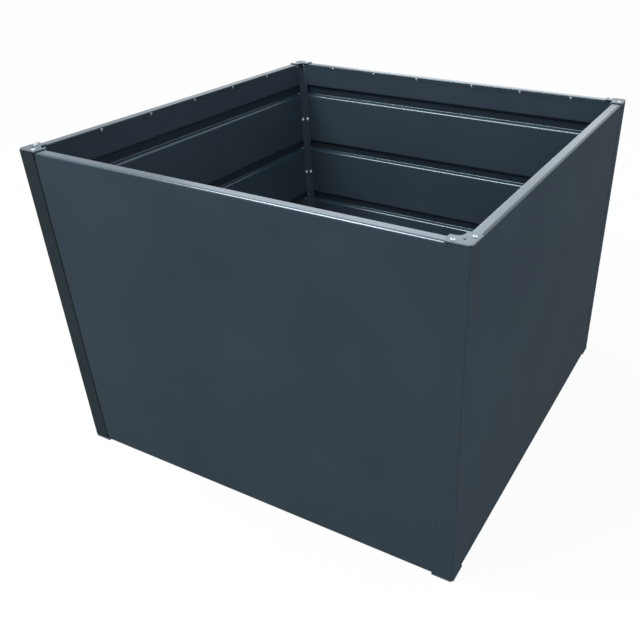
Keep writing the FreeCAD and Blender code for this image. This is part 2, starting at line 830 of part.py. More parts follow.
UPRIGHT = Rotation()
FLATS_ALONG = Rotation(Vector(0, 0, 1), RIGHT_ANGLE)
FACING_X = Rotation(Vector(0, 1, 0), RIGHT_ANGLE)
FACING_Y = Rotation(Vector(1, 0, 0), -RIGHT_ANGLE)
UPSIDE_DOWN = Rotation(Vector(1, 0, 0), 2 * RIGHT_ANGLE)


def corner_fasteners(doc, bed, corner, masters):
    """The four groups of fasteners at one corner, in the corner frame."""
    size = bed.size
    screw, sunk, nut = masters["domed_screw"], masters["sunk_screw"], masters["hex_nut"]
    plate_places = bed.plate_screws()
    top_nut = bed.rim - size.panel_sheet
    foot_nut = bed.base + size.panel_sheet
    head_face = bed.lip_face + size.angle_sheet
    nut_face = bed.liner_back - size.post_sheet
    along = size.wall_thickness + size.screw_offset
    sides = []
    nuts = []
    for z in bed.corner_screw_heights():
        sides += [(screw, (along, head_face, z), FACING_Y), (screw, (head_face, along, z), FACING_X)]
        nuts += [(nut, (along, nut_face, z), FACING_Y), (nut, (nut_face, along, z), FACING_X)]
    for (x, y), turn in zip(plate_places, (FLATS_ALONG, UPRIGHT)):
        nuts += [(nut, (x, y, top_nut), turn), (nut, (x, y, foot_nut), UPSIDE_DOWN * turn)]
    tops = [(screw, (x, y, size.bed_height), UPRIGHT) for x, y in plate_places]
    feet = [(sunk, (x, y, 0), UPRIGHT) for x, y in plate_places]
    return [
        fastener_group(doc, corner + "_plate_screws", tops),
        fastener_group(doc, corner + "_foot_screws", feet),
        fastener_group(doc, corner + "_inner_screws", sides),
        fastener_group(doc, corner + "_nuts", nuts),
    ]


def lip_rivets(doc, bed, wall, stations, rivet):
    """The rivets that join a wall's liner to its panel, in the wall frame."""
    face = bed.size.wall_thickness
    copies = [(rivet, (x, face, z), FACING_Y) for z in bed.rivet_rows() for x in stations]
    return fastener_group(doc, wall + "_rivets", copies)


# ---------------------------------------------------------------------------------------------
# Assembly and export
# ---------------------------------------------------------------------------------------------


def build(doc):
    """Makes every piece of the bed and returns them, each with its node's name as its label."""
    size = Sheet(doc)
    bed = Bed(size)
    masters = {
        "domed_screw": domed_screw(doc, bed),
        "sunk_screw": sunk_screw(doc, bed),
        "hex_nut": hex_nut(doc, bed),
        "blind_rivet": blind_rivet(doc, bed),
    }
    doc.recompute()
    pieces = []
    for wall, turns, along, across in WALLS:
        stations = bed.rivet_stations(wall)
        made = [
            outer_panel(doc, bed, wall + "_panel", along, stations),
            inner_liner(doc, bed, wall + "_liner", along, stations),
            lip_rivets(doc, bed, wall, stations, masters["blind_rivet"]),
        ]
        for piece in made:
            place_at_wall(piece, size, turns, across)
        pieces += made
    for corner, turns, side_x, side_y in CORNERS:
        made = [
            corner_post(doc, bed, corner + "_post"),
            corner_angle(doc, bed, corner + "_angle"),
            corner_plate(
                doc, bed, corner + "_plate", bed.rim, size.plate_thickness, size.plate_overhang
            ),
            foot_plate(doc, bed, corner + "_foot"),
            *corner_fasteners(doc, bed, corner, masters),
        ]
        for piece in made:
            place_at_corner(piece, size, turns, side_x, side_y)
        pieces += made
    doc.recompute()
    return pieces


def check(doc, pieces):
    """Stops if a feature failed or a piece has no valid solid."""
    for thing in doc.Objects:
        if "Invalid" in thing.State or "Error" in thing.State:
            raise RuntimeError(f"{thing.Label} could not be made: {thing.State}")
    for piece in pieces:
        shape = piece.Shape
        if shape.isNull() or not shape.isValid() or not shape.Solids:
            raise RuntimeError(f"{piece.Label} has no valid solid")


def main():
    doc = FreeCAD.newDocument("raised_bed")
    pieces = build(doc)
    check(doc, pieces)
    os.makedirs("parts", exist_ok=True)
    for piece in pieces:
        piece.Shape.exportStep(f"parts/{piece.Label}.step")
        volume = sum(solid.Volume for solid in piece.Shape.Solids)
        print(f"{piece.Label}: {len(piece.Shape.Solids)} solids, {volume / 1000:.2f} cm3")
    return pieces


main()
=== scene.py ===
"""Raised garden bed of powder-coated sheet metal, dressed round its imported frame.

Lengths are in metres. The origin is on the ground under the middle of the bed, +Z is up, +X runs
along the front wall to the right and +Y runs from the front wall to the back wall. A wall's own
frame has x along the wall from its middle, y inwards from its outer face and z up. A corner's own
frame has x and y inwards from the outer corner along the two walls, and z up.
"""

import json
import logging
import math
from collections.abc import Callable, Iterable, Sequence
from dataclasses import dataclass, field
from enum import Enum

import bmesh
import bpy
from mathutils import Matrix, Vector

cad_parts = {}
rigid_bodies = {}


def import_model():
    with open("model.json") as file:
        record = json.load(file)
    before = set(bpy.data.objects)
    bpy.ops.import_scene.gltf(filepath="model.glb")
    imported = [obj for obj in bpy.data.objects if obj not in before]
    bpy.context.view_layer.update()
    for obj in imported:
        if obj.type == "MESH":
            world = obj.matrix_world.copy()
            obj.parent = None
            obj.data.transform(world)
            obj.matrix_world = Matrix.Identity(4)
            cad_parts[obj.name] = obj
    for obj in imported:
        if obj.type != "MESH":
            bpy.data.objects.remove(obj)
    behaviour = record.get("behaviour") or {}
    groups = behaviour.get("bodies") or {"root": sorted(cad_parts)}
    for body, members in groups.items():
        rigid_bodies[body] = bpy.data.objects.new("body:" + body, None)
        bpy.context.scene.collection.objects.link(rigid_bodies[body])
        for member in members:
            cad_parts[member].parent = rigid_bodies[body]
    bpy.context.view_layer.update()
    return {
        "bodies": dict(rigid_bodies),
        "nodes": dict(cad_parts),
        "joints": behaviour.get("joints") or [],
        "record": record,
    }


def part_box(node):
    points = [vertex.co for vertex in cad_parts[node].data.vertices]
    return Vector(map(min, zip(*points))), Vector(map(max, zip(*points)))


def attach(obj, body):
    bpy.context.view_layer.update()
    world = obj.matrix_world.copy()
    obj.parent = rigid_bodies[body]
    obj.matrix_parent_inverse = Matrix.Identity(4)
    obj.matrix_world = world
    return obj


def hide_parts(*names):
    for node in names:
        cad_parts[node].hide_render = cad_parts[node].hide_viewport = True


LOG = logging.getLogger("raised_bed")
BODY = "root"

MM = 0.001
QUARTER = math.pi / 2
UP = Vector((0, 0, 1))

# Distances below which a point counts as on a cutting plane, as the same point and as at a place.
ON_PLANE = 1e-7
SAME_POINT = 1e-6
AT_PLACE = 1e-5

Height = float
Colour = tuple[float, float, float, float]
Place = tuple[float, float, float]


# ------------------------------------------------------------------------------------------------
# Finishes
# ------------------------------------------------------------------------------------------------

# Numbers of a Mix node's sockets when it mixes colours.
MIX_SHARE, MIX_FIRST, MIX_SECOND, MIX_RESULT = 0, 6, 7, 2


def linear(code: str) -> Colour:
    """Turns an sRGB hex colour into the linear colour that a shader takes.

    Args:
        code: Six hexadecimal digits after a hash sign.

    Returns:
        Red, green, blue and an alpha of 1.
    """
    channels = [int(code[start:start + 2], 16) / 255 for start in (1, 3, 5)]
    straight = [c / 12.92 if c <= 0.04045 else ((c + 0.055) / 1.055) ** 2.4 for c in channels]
    return (*straight, 1.0)


def add_node(
    tree: bpy.types.NodeTree, kind: str, inputs: dict | None = None, **settings
) -> bpy.types.Node:
    """Adds a node, sets it up and links it.

    Args:
        tree: The node tree that gets the node.
        kind: Blender's name of the node's type.
        inputs: Socket name or number to a value, or to the output socket that feeds it.
        **settings: The node's own properties.

    Returns:
        The new node.
    """
    node = tree.nodes.new(kind)
    for name, value in settings.items():
        setattr(node, name, value)
    for name, value in (inputs or {}).items():
        if isinstance(value, bpy.types.NodeSocket):
            tree.links.new(value, node.inputs[name])
        else:
            node.inputs[name].default_value = value
    return node


def start_material(name: str) -> tuple[bpy.types.Material, bpy.types.NodeTree]:
    """Starts a material.

    Args:
        name: The material's name.

    Returns:
        The material and its empty node tree.
    """
    material = bpy.data.materials.new(name)
    material.use_nodes = True
    material.node_tree.nodes.clear()
    return material, material.node_tree


class Finish(Enum):
    """The finishes of the bed, named as they are called on the material."""

    OUTER = "powder coat, outer faces"
    WORN = "powder coat, painted shade on a post"
    INNER = "powder coat, inner faces"
    GROOVE = "powder coat, painted shade in the beads"
    ANGLE = "powder coat, corner angles"
    BEND = "powder coat, rims and bends"
    PLATE = "powder coat, corner plates"
    ZINC = "bright zinc plating"
    PALE_ZINC = "pale passivated zinc plating"
    RIVET = "mill-finish rivet steel"


@dataclass(frozen=True)
class PowderCoat:
    """Polyester powder coat, sprayed and baked: a fine orange peel over a faint grit.

    It is matt on the wide faces. A copy with a blue-tinted specular and more gloss, put on the
    up-facing rims and bends, is a painted highlight. The peel breaks a reflection up softly, the
    grit gives the rim its fine sparkle, and the sheet under the coat is never quite flat, so that
    wide faces look faintly cloudy. Real grit is too fine to show from here, so it is drawn several
    times as coarse.
    """

    finish: Finish
    colour: str
    pale: str
    roughness: float
    specular: float = 0.5
    sheen: str = "#FFFFFF"
    ior: float = 1.5
    peel_size: float = 5 * MM
    peel_depth: float = 0.035 * MM
    grit_size: float = 1.6 * MM
    grit_depth: float = 0.02 * MM
    cloud_size: float = 260 * MM
    cloud_depth: float = 0.9 * MM
    fraying: float = 0.55
    unevenness: float = 0.04
    speckle_span: tuple[float, float] = (0.35, 0.75)
    speckle_share: float = 0.35
    patch_span: tuple[float, float] = (0.3, 0.7)
    patch_share: float = 0.5

    def material(self) -> bpy.types.Material:
        """Makes the coat's material.

        Returns:
            The material, on Object coordinates.
        """
        material, tree = start_material(self.finish.value)
        place = add_node(tree, "ShaderNodeTexCoord").outputs["Object"]
        cloud, peel, grit = (
            add_node(
                tree, "ShaderNodeTexNoise",
                {"Vector": place, "Scale": 1 / size, "Detail": detail, "Roughness": self.fraying},
            ).outputs["Fac"]
            for size, detail in ((self.cloud_size, 2), (self.peel_size, 2), (self.grit_size, 1))
        )
        depths = ((cloud, self.cloud_depth), (peel, self.peel_depth), (grit, self.grit_depth))
        relief: dict[str, bpy.types.NodeSocket] = {}
        for height, depth in depths:
            bump = {"Height": height, "Strength": 1.0, "Distance": depth, **relief}
            relief = {"Normal": add_node(tree, "ShaderNodeBump", bump).outputs["Normal"]}
        speckle, patch = (
            add_node(
                tree, "ShaderNodeMapRange",
                {"Value": noise, "From Min": low, "From Max": high, "To Min": 0.0, "To Max": share},
            ).outputs["Result"]
            for noise, (low, high), share in (
                (grit, self.speckle_span, self.speckle_share),
                (cloud, self.patch_span, self.patch_share),
            )
        )
        paleness = add_node(tree, "ShaderNodeMath", {0: speckle, 1: patch}, operation="ADD")
        tint = add_node(
            tree, "ShaderNodeMix",
            {
                MIX_SHARE: paleness.outputs[0],
                MIX_FIRST: linear(self.colour),
                MIX_SECOND: linear(self.pale),
            },
            data_type="RGBA",
        )
        low, high = self.roughness - self.unevenness, self.roughness + self.unevenness
        dullness = add_node(
            tree, "ShaderNodeMapRange", {"Value": peel, "To Min": low, "To Max": high}
        )
        shader = add_node(
            tree, "ShaderNodeBsdfPrincipled",
            {
                "Base Color": tint.outputs[MIX_RESULT],
                "Roughness": dullness.outputs["Result"],
                "IOR": self.ior,
                "Specular IOR Level": self.specular,
                "Specular Tint": linear(self.sheen),
                **relief,
            },
        )
        add_node(tree, "ShaderNodeOutputMaterial", {"Surface": shader.outputs[0]})
        return material


@dataclass(frozen=True)
class BareMetal:
    """Small steel parts: a mirror dulled by fine pickling and tool marks.

    Zinc plating is bright and faintly blue. The rivets' bare steel is greyer and duller. Real
    marks are too fine to show from here, so they are drawn several times as coarse.
    """

    finish: Finish
    colour: str
    roughness: float
    mark_size: float = 0.8 * MM
    mark_depth: float = 0.02 * MM
    mark_strength: float = 0.6
    mark_detail: float = 3
    brighter: float = 0.08
    duller: float = 0.1

    def material(self) -> bpy.types.Material:
        """Makes the metal's material.

        Returns:
            The material, on Object coordinates.
        """
        material, tree = start_material(self.finish.value)
        place = add_node(tree, "ShaderNodeTexCoord").outputs["Object"]
        marks = add_node(
            tree, "ShaderNodeTexNoise",
            {"Vector": place, "Scale": 1 / self.mark_size, "Detail": self.mark_detail},
        ).outputs["Fac"]
        low, high = self.roughness - self.brighter, self.roughness + self.duller
        dullness = add_node(
            tree, "ShaderNodeMapRange", {"Value": marks, "To Min": low, "To Max": high}
        )
        relief = add_node(
            tree, "ShaderNodeBump",
            {"Height": marks, "Strength": self.mark_strength, "Distance": self.mark_depth},
        )
        shader = add_node(
            tree, "ShaderNodeBsdfPrincipled",
            {
                "Base Color": linear(self.colour),
                "Metallic": 1.0,
                "Roughness": dullness.outputs["Result"],
                "Normal": relief.outputs["Normal"],
            },
        )
        add_node(tree, "ShaderNodeOutputMaterial", {"Surface": shader.outputs[0]})
        return material


def make_finishes() -> dict[Finish, bpy.types.Material]:
    """Makes every material of the bed.

    Returns:
        Finish to material.
    """
    matt = {"roughness": 0.7, "specular": 0.03}
    # The satin copies' blue specular tint is a painted reflection colour.
    satin = {"colour": "#22323D", "pale": "#2B3C48", "specular": 1.0, "sheen": "#DBEBF5"}
    sorts = (
        # Dead matt slate grey, which mirrors next to nothing.
        PowderCoat(Finish.OUTER, "#2A343C", "#303C44", **matt),
        # Painted shade: the same coat, darker and a little greener on the front left post, seen at
        # a grazing angle.
        PowderCoat(Finish.WORN, "#20292D", "#273034", **matt),
        # Painted shade: a slightly darker, bluer copy of the coat on the inside faces, with a trace
        # of gloss.
        PowderCoat(Finish.INNER, "#27333C", "#2F3B45", roughness=0.65, specular=0.1),
        # Painted light: a paler strip down each inner corner, which lifts the shade that falls
        # there.
        PowderCoat(Finish.ANGLE, "#303C46", "#384650", roughness=0.6, specular=0.2),
        # Painted shade: a darker copy of the coat down in the beads, where shade falls.
        PowderCoat(Finish.GROOVE, "#1A242C", "#202C35", roughness=0.7, specular=0.1),
        # Painted highlight: a glossier, blue-tinted copy on up-facing rims and bends,
        # which draws bright lines along bends and makes the rim look pale.
        PowderCoat(Finish.BEND, roughness=0.25, **satin),
        # Painted highlight: the same glossier, blue-tinted copy on the corner plates.
        PowderCoat(Finish.PLATE, roughness=0.3, **satin),
        # Bright glints on the heads of the screws.
        BareMetal(Finish.ZINC, "#D5DADF", roughness=0.26),
        # Painted glint: nearly white and soft, so that the heads show bright in the dark of the
        # corners.
        BareMetal(Finish.PALE_ZINC, "#F4F6F7", roughness=0.5),
        # Mid grey spots along the lips.
        BareMetal(Finish.RIVET, "#9CA1A6", roughness=0.38),
    )
    return {sort.finish: sort.material() for sort in sorts}


# ------------------------------------------------------------------------------------------------
# Bench tools
# ------------------------------------------------------------------------------------------------


def only(kind: type, geometry: Iterable) -> list:
    """Picks one kind of element out of what an operator returns."""
    return [item for item in geometry if isinstance(item, kind)]


@dataclass
class Fold:
    """A sheet seen from its edge, drawn stretch by stretch as a folding machine bends it."""

    bm: bmesh.types.BMesh
    start: Vector
    heading: Vector
    axis: Vector
    margin: float = 0.35 * MM
    steps: int = 6
    tip: bmesh.types.BMVert = field(init=False)

    def __post_init__(self) -> None:
        """Puts the first point down."""
        self.tip = self.bm.verts.new(self.start)

    def _grow(self) -> None:
        """Adds a point on top of the tip, joined to it."""
        self.tip = bmesh.ops.extrude_vert_indiv(self.bm, verts=[self.tip])["verts"][0]

    def run(self, length: float) -> "Fold":
        """Draws a straight stretch, with a short one at each end that keeps the wide face flat.

        Args:
            length: Length of the whole stretch.

        Returns:
            The fold itself.
        """
        for part in (self.margin, length - 2 * self.margin, self.margin):
            self._grow()
            bmesh.ops.translate(self.bm, verts=[self.tip], vec=self.heading * part)
        return self

    def bend(self, radius: float, turn: float) -> "Fold":
        """Draws a bend.

        Args:
            radius: Radius of the side of the sheet that is drawn; 0 is a keen fold.
            turn: Angle about the axis, by the right-hand rule.

        Returns:
            The fold itself.
        """
        side = self.axis.cross(self.heading) * math.copysign(radius, turn)
        pivot = self.tip.co + side
        step = Matrix.Rotation(turn / self.steps, 3, self.axis)
        for _ in range(self.steps if radius else 0):
            self._grow()
            bmesh.ops.rotate(self.bm, verts=[self.tip], cent=pivot, matrix=step)
        self.heading = Matrix.Rotation(turn, 3, self.axis) @ self.heading
        return self

    def draw_out(self, length: float) -> None:
        """Draws the whole line out along the axis into a sheet without thickness.

        Args:
            length: How far it is drawn.
        """
        grown = bmesh.ops.extrude_edge_only(self.bm, edges=self.bm.edges[:])["geom"]
        points = only(bmesh.types.BMVert, grown)
        bmesh.ops.translate(self.bm, verts=points, vec=self.axis * length)


def cut(bm: bmesh.types.BMesh, point: Sequence[float], normal: Sequence[float]) -> None:
    """Cuts every face along a plane and keeps both sides."""
    geometry = bm.verts[:] + bm.edges[:] + bm.faces[:]
    bmesh.ops.bisect_plane(bm, geom=geometry, dist=ON_PLANE, plane_co=point, plane_no=normal)


def drop(bm: bmesh.types.BMesh, goes: Callable[[Vector], bool]) -> None:
    """Takes away each face whose middle the test picks."""
    faces = [face for face in bm.faces if goes(face.calc_center_median())]
    bmesh.ops.delete(bm, geom=faces, context="FACES")


def keen_edges(bm: bmesh.types.BMesh, keenest: float) -> list[bmesh.types.BMEdge]:
    """Finds the edges at which the surface turns by more than an angle."""
    return [e for e in bm.edges if len(e.link_faces) == 2 and e.calc_face_angle() > keenest]


def ease(
    bm: bmesh.types.BMesh, edges: Sequence[bmesh.types.BMEdge], radius: float, steps: int
) -> None:
    """Rounds edges.

    Args:
        bm: The mesh.
        edges: Its edges that are rounded.
        radius: Size of the rounding.
        steps: Faces across the rounding.
    """
    bmesh.ops.bevel(
        bm, geom=edges, offset=radius, segments=steps, profile=0.5,
        affect="EDGES", clamp_overlap=True, material=-1,
    )


def thicken(bm: bmesh.types.BMesh, sheet: float, outwards: Callable[[Vector], Vector]) -> None:
    """Gives a sheet its thickness, on the side away from the face that is seen.

    Args:
        bm: The sheet, one face deep.
        sheet: Its thickness.
        outwards: Which way out is at the middle of the sheet's largest face.
    """
    bmesh.ops.remove_doubles(bm, verts=bm.verts[:], dist=SAME_POINT)
    bmesh.ops.recalc_face_normals(bm, faces=bm.faces[:])
    widest = max(bm.faces, key=lambda face: face.calc_area())
    if widest.normal.dot(outwards(widest.calc_center_median())) < 0:
        bmesh.ops.reverse_faces(bm, faces=bm.faces[:])
    mesh = bpy.data.meshes.new("thin")
    bm.to_mesh(mesh)
    thin = bpy.data.objects.new("thin", mesh)
    bpy.context.scene.collection.objects.link(thin)
    modifier = thin.modifiers.new("sheet", "SOLIDIFY")
    modifier.thickness = sheet
    modifier.offset = -1
    modifier.use_even_offset = True
    modifier.use_quality_normals = True
    bpy.context.view_layer.update()
    evaluated = thin.evaluated_get(bpy.context.evaluated_depsgraph_get())
    thick = bpy.data.meshes.new_from_object(evaluated)
    bm.clear()
    bm.from_mesh(thick)
    bpy.data.objects.remove(thin)
    for used in (mesh, thick):
        bpy.data.meshes.remove(used)


def shade(
    bm: bmesh.types.BMesh, sharpest: float = math.radians(32), broad: float = 6 * MM
) -> None:
    """Shades the narrow faces of bends and roundings smoothly, and the broad ones flat.

    Args:
        bm: The mesh.
        sharpest: Edges that turn by more than this stay keen.
        broad: Mean width from which a face counts as broad.
    """
    for face in bm.faces:
        face.smooth = 2 * face.calc_area() / face.calc_perimeter() < broad
    for edge in bm.edges:
        edge.smooth = len(edge.link_faces) == 2 and edge.calc_face_angle() < sharpest


def paint(bm: bmesh.types.BMesh, choose: Callable[[bmesh.types.BMFace], int]) -> None:
    """Gives every face one of its piece's finishes.

    Args:
        bm: The mesh.
        choose: Gives the number of a face's finish.
    """
    bm.normal_update()
    for face in bm.faces:
        face.material_index = choose(face)


@dataclass
class Workshop:
    """Turns finished meshes into pieces that ride on the frame."""

    materials: dict[Finish, bpy.types.Material]
    nodes: dict[str, bpy.types.Object]

    def seat(
        self, bm: bmesh.types.BMesh, name: str, finishes: Sequence[Finish], node: str
    ) -> None:
        """Makes a piece of a mesh that is already in its place.

        Args:
            bm: The mesh, which is used up.
            name: The piece's name.
            finishes: The materials it wears, in the order of its faces' material numbers.
            node: The node of the frame that it stands for.
        """
        shade(bm)
        mesh = bpy.data.meshes.new(name)
        bm.to_mesh(mesh)
        bm.free()
        for finish in finishes:
            mesh.materials.append(self.materials[finish])
        piece = bpy.data.objects.new(name, mesh)
        bpy.context.scene.collection.objects.link(piece)
        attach(piece, BODY)
        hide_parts(node)
        LOG.info("%s: %d faces", name, len(mesh.polygons))

    def carry(self, node: str, finish: Finish) -> None:
        """Keeps a node of the frame as it is and gives it its finish.

        Args:
            node: The node's name.
            finish: What it wears.
        """
        mesh = self.nodes[node].data
        mesh.materials.clear()
        mesh.materials.append(self.materials[finish])
        LOG.info("%s: kept, %s", node, finish.value)

    def eased_copy(
        self,
        node: str,
        radius: float,
        steps: int = 3,
        flat: float = math.radians(0.5),
        keen: float = math.radians(50),
    ) -> bmesh.types.BMesh:
        """Copies a node's mesh and rounds its keen edges, as cutting, deburring and coating do.

        Args:
            node: The node of the frame.
            radius: Size of the rounding.
            steps: Faces across the rounding.
            flat: Faces that turn by less than this become one.
            keen: Edges that turn by more than this are rounded.

        Returns:
            The copy, in its place.
        """
        bm = bmesh.new()
        bm.from_mesh(self.nodes[node].data)
        bmesh.ops.remove_doubles(bm, verts=bm.verts[:], dist=SAME_POINT)
        bmesh.ops.dissolve_limit(bm, angle_limit=flat, verts=bm.verts[:], edges=bm.edges[:])
        ease(bm, keen_edges(bm, keen), radius, steps)
        return bm


# ------------------------------------------------------------------------------------------------
# The bed
# ------------------------------------------------------------------------------------------------


@dataclass(frozen=True)
class BedSizes:
    """Sizes that several pieces share. The overall ones come from the frame."""

    half: float
    base: Height
    rim: Height
    top: Height
    wall: float = 24 * MM
    panel_sheet: float = 0.8 * MM
    liner_sheet: float = 0.6 * MM
    post_sheet: float = 1.2 * MM
    angle_sheet: float = 1 * MM
    bend: float = 1.8 * MM
    lip: float = 11 * MM
    post_leg: float = 41 * MM
    angle_leg: float = 17 * MM
    first_bead: float = 83 * MM
    bead_pitch: float = 176 * MM
    bead_count: int = 4
    bead_mouth: float = 32 * MM
    bead_depth: float = 11 * MM
    bead_tuck: float = 8 * MM

    @classmethod
    def from_frame(cls) -> "BedSizes":
        """Reads the overall sizes off the frame's posts, panels and plates.

        Returns:
            The bed's sizes.
        """
        low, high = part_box("front_panel")
        return cls(
            half=-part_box("front_left_post")[0].x,
            base=low.z,
            rim=high.z,
            top=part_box("front_left_plate")[1].z,
        )

    @property
    def lip_face(self) -> float:
        """From a wall's outer face to the liner's face, behind the lips."""
        return self.wall - self.panel_sheet

    @property
    def bead_inset(self) -> float:
        """From the bed's outer corner to the end of a bead, behind the corner angle."""
        return self.lip_face + self.angle_leg - self.bead_tuck

    def bead_heights(self) -> list[Height]:
        """Heights of the beads' middles, from the top."""
        highest = self.top - self.first_bead
        return [highest - self.bead_pitch * step for step in range(self.bead_count)]


@dataclass(frozen=True)
class Wall:
    """One side of the bed."""

    name: str
    turns: int

    def place(self, sizes: BedSizes) -> Matrix:
        """The wall's own frame, as seen in the bed's."""
        outer = Matrix.Translation((0, -sizes.half, 0))
        return Matrix.Rotation(QUARTER * self.turns, 4, "Z") @ outer


@dataclass(frozen=True)
class Corner:
    """One upright corner of the bed."""

    name: str
    turns: int

    def place(self, sizes: BedSizes) -> Matrix:
        """The corner's own frame, as seen in the bed's."""
        outer = Matrix.Translation((-sizes.half, -sizes.half, 0))
        return Matrix.Rotation(QUARTER * self.turns, 4, "Z") @ outer


@dataclass(frozen=True)
class Seam:
    """How a panel meets a post.

    The panels have a little play between the posts. It is taken up at one end, where the folds
    meet in a hairline, and left open at the other, where the seam shows as a dark line.
    """

    gap: float
    notch_width: float
    notch_height: float
    snug: bool


WALLS = tuple(Wall(name, turns) for turns, name in enumerate(("front", "right", "back", "left")))
CORNERS = tuple(
    Corner(name, turns)
    for turns, name in enumerate(("front_left", "front_right", "back_right", "back_left"))
)
OPEN = Seam(gap=2.2 * MM, notch_width=3.5 * MM, notch_height=15 * MM, snug=False)
SNUG = Seam(gap=0.05 * MM, notch_width=1 * MM, notch_height=5 * MM, snug=True)
SEAMS = {"front_left": OPEN, "front_right": SNUG, "back_right": OPEN, "back_left": SNUG}


def crease(
    bm: bmesh.types.BMesh,
    at_seam: Callable[[Vector], bool],
    radius: float = 0.12 * MM,
    keen: float = math.radians(60),
) -> None:
    """Rounds the keen upright edges of a snug seam by a hair, as the coat does.

    Args:
        bm: The mesh.
        at_seam: True for a point of those edges.
        radius: Size of the rounding.
        keen: Edges that turn by more than this are rounded.
    """
    edges = [edge for edge in keen_edges(bm, keen) if all(at_seam(v.co) for v in edge.verts)]
    ease(bm, edges, radius, steps=2)


@dataclass
class OuterPanel:
    """Folded sheet: plain face, flange and lip along the top and bottom, a fold along each side."""

    sizes: BedSizes
    side_fold: float = 9 * MM
    side_steps: int = 6
    mitre_gap: float = 8.5 * MM
    lip_gap: float = 0.5 * MM
    rim_round: float = 5.5 * MM
    rim_rise: float = 0.6

    def build(self, shop: Workshop, wall: Wall) -> None:
        """Folds, trims and seats the panel of one wall.

        Args:
            shop: Where the piece is seated.
            wall: The wall.
        """
        s = self.sizes
        outer = s.bend + s.panel_sheet
        ends = self._ends(wall)
        bm = bmesh.new()
        start = Vector((-s.half, s.wall, s.base + s.lip))
        fold = Fold(bm, start, heading=Vector((0, 0, -1)), axis=Vector((1, 0, 0)))
        turn = -QUARTER
        fold.run(s.lip - outer).bend(outer, turn).run(s.wall - 2 * outer).bend(outer, turn)
        fold.run(s.rim - s.base - outer - self.rim_round).bend(self.rim_round, turn)
        fold.run(s.wall - outer - self.rim_round).bend(outer, turn).run(s.lip - outer)
        fold.draw_out(2 * s.half)
        self._trim(bm, outer, ends)
        for sign, seam in ends.items():
            self._fold_side(bm, sign, seam, outer)
        thicken(bm, s.panel_sheet, lambda middle: Vector((0, -1, 0)))
        for sign, seam in ends.items():
            if seam.snug:
                self._crease_side(bm, sign * self._side(seam))
        paint(bm, self._finish_of)
        bmesh.ops.transform(bm, matrix=wall.place(s), verts=bm.verts[:])
        finishes = (Finish.OUTER, Finish.BEND)
        shop.seat(bm, f"{wall.name}_folded_panel", finishes, f"{wall.name}_panel")

    @staticmethod
    def _ends(wall: Wall) -> dict[int, Seam]:
        """The seams at a wall's left end, -1, and at its right end, 1."""
        left, right = CORNERS[wall.turns], CORNERS[(wall.turns + 1) % len(CORNERS)]
        return {-1: SEAMS[left.name], 1: SEAMS[right.name]}

    def _side(self, seam: Seam) -> float:
        """From the wall's middle to the panel's side at a seam."""
        return self.sizes.half - self.sizes.post_leg - seam.gap

    def _finish_of(self, face: bmesh.types.BMFace) -> int:
        """Number of a face's finish: painted highlight on the rim and the upper half of its bend.
        """
        on_rim = face.calc_center_median().z > self.sizes.rim - self.rim_round
        return int(face.normal.z > self.rim_rise and on_rim)

    def _trim(self, bm: bmesh.types.BMesh, outer: float, ends: dict[int, Seam]) -> None:
        """Cuts the mitres, the bays for the posts and the notches at the seams' ends.

        Args:
            bm: The folded panel, one face deep.
            outer: Outer radius of its folds.
            ends: The seam at the left end, -1, and at the right end, 1.
        """
        s = self.sizes
        low, high = s.base + s.panel_sheet, s.rim - s.panel_sheet
        lip_end = s.half - s.wall - self.lip_gap
        mitre = s.half - self.mitre_gap
        for sign, seam in ends.items():
            side = self._side(seam)
            for x in (side - outer, side, side - seam.notch_width, lip_end):
                cut(bm, (sign * x, 0, 0), (1, 0, 0))
            cut(bm, (sign * mitre, 0, 0), (sign, 1, 0))
            for z in (low, low + seam.notch_height, high - seam.notch_height, high):
                cut(bm, (0, 0, z), UP)

        def goes(place: Vector) -> bool:
            """Tests for waste.

            Args:
                place: Middle of a face.

            Returns:
                True beyond a mitre, in a post's bay or in a notch.
            """
            along = abs(place.x)
            seam = ends[1 if place.x > 0 else -1]
            side = self._side(seam)
            if along > lip_end and along + place.y > mitre:
                return True
            if place.y > s.wall / 2 or not low < place.z < high:
                return False
            near_end = min(place.z - low, high - place.z) < seam.notch_height
            face_end = side if seam.snug else side - outer
            return along > (side - seam.notch_width if near_end else face_end)

        drop(bm, goes)

    def _fold_side(self, bm: bmesh.types.BMesh, sign: int, seam: Seam, outer: float) -> None:
        """Bends one of the face's upright edges inwards, beside a post.

        Args:
            bm: The trimmed panel, one face deep.
            sign: -1 for the left side, 1 for the right side.
            seam: How that side meets its post.
            outer: Outer radius of the fold; a snug one is keen.
        """
        radius = 0 if seam.snug else outer
        start = sign * (self._side(seam) - radius)

        def on_edge(place: Vector) -> bool:
            """True for a point of the upright edge."""
            return abs(place.x - start) < SAME_POINT and place.y < SAME_POINT

        edges = [e for e in bm.edges if e.is_boundary and all(on_edge(v.co) for v in e.verts)]
        if radius:
            arc = bmesh.ops.spin(
                bm, geom=edges, cent=(start, radius, 0), axis=UP, angle=sign * QUARTER,
                steps=self.side_steps, use_merge=False, use_duplicate=False,
            )["geom_last"]
            edges = only(bmesh.types.BMEdge, arc)
        grown = bmesh.ops.extrude_edge_only(bm, edges=edges)["geom"]
        points = only(bmesh.types.BMVert, grown)
        bmesh.ops.translate(bm, verts=points, vec=(0, self.side_fold - radius, 0))

    @staticmethod
    def _crease_side(bm: bmesh.types.BMesh, side: float) -> None:
        """Rounds the keen fold of a snug side, which stands at x = side."""
        crease(bm, lambda place: abs(place.x - side) < AT_PLACE and place.y < AT_PLACE)


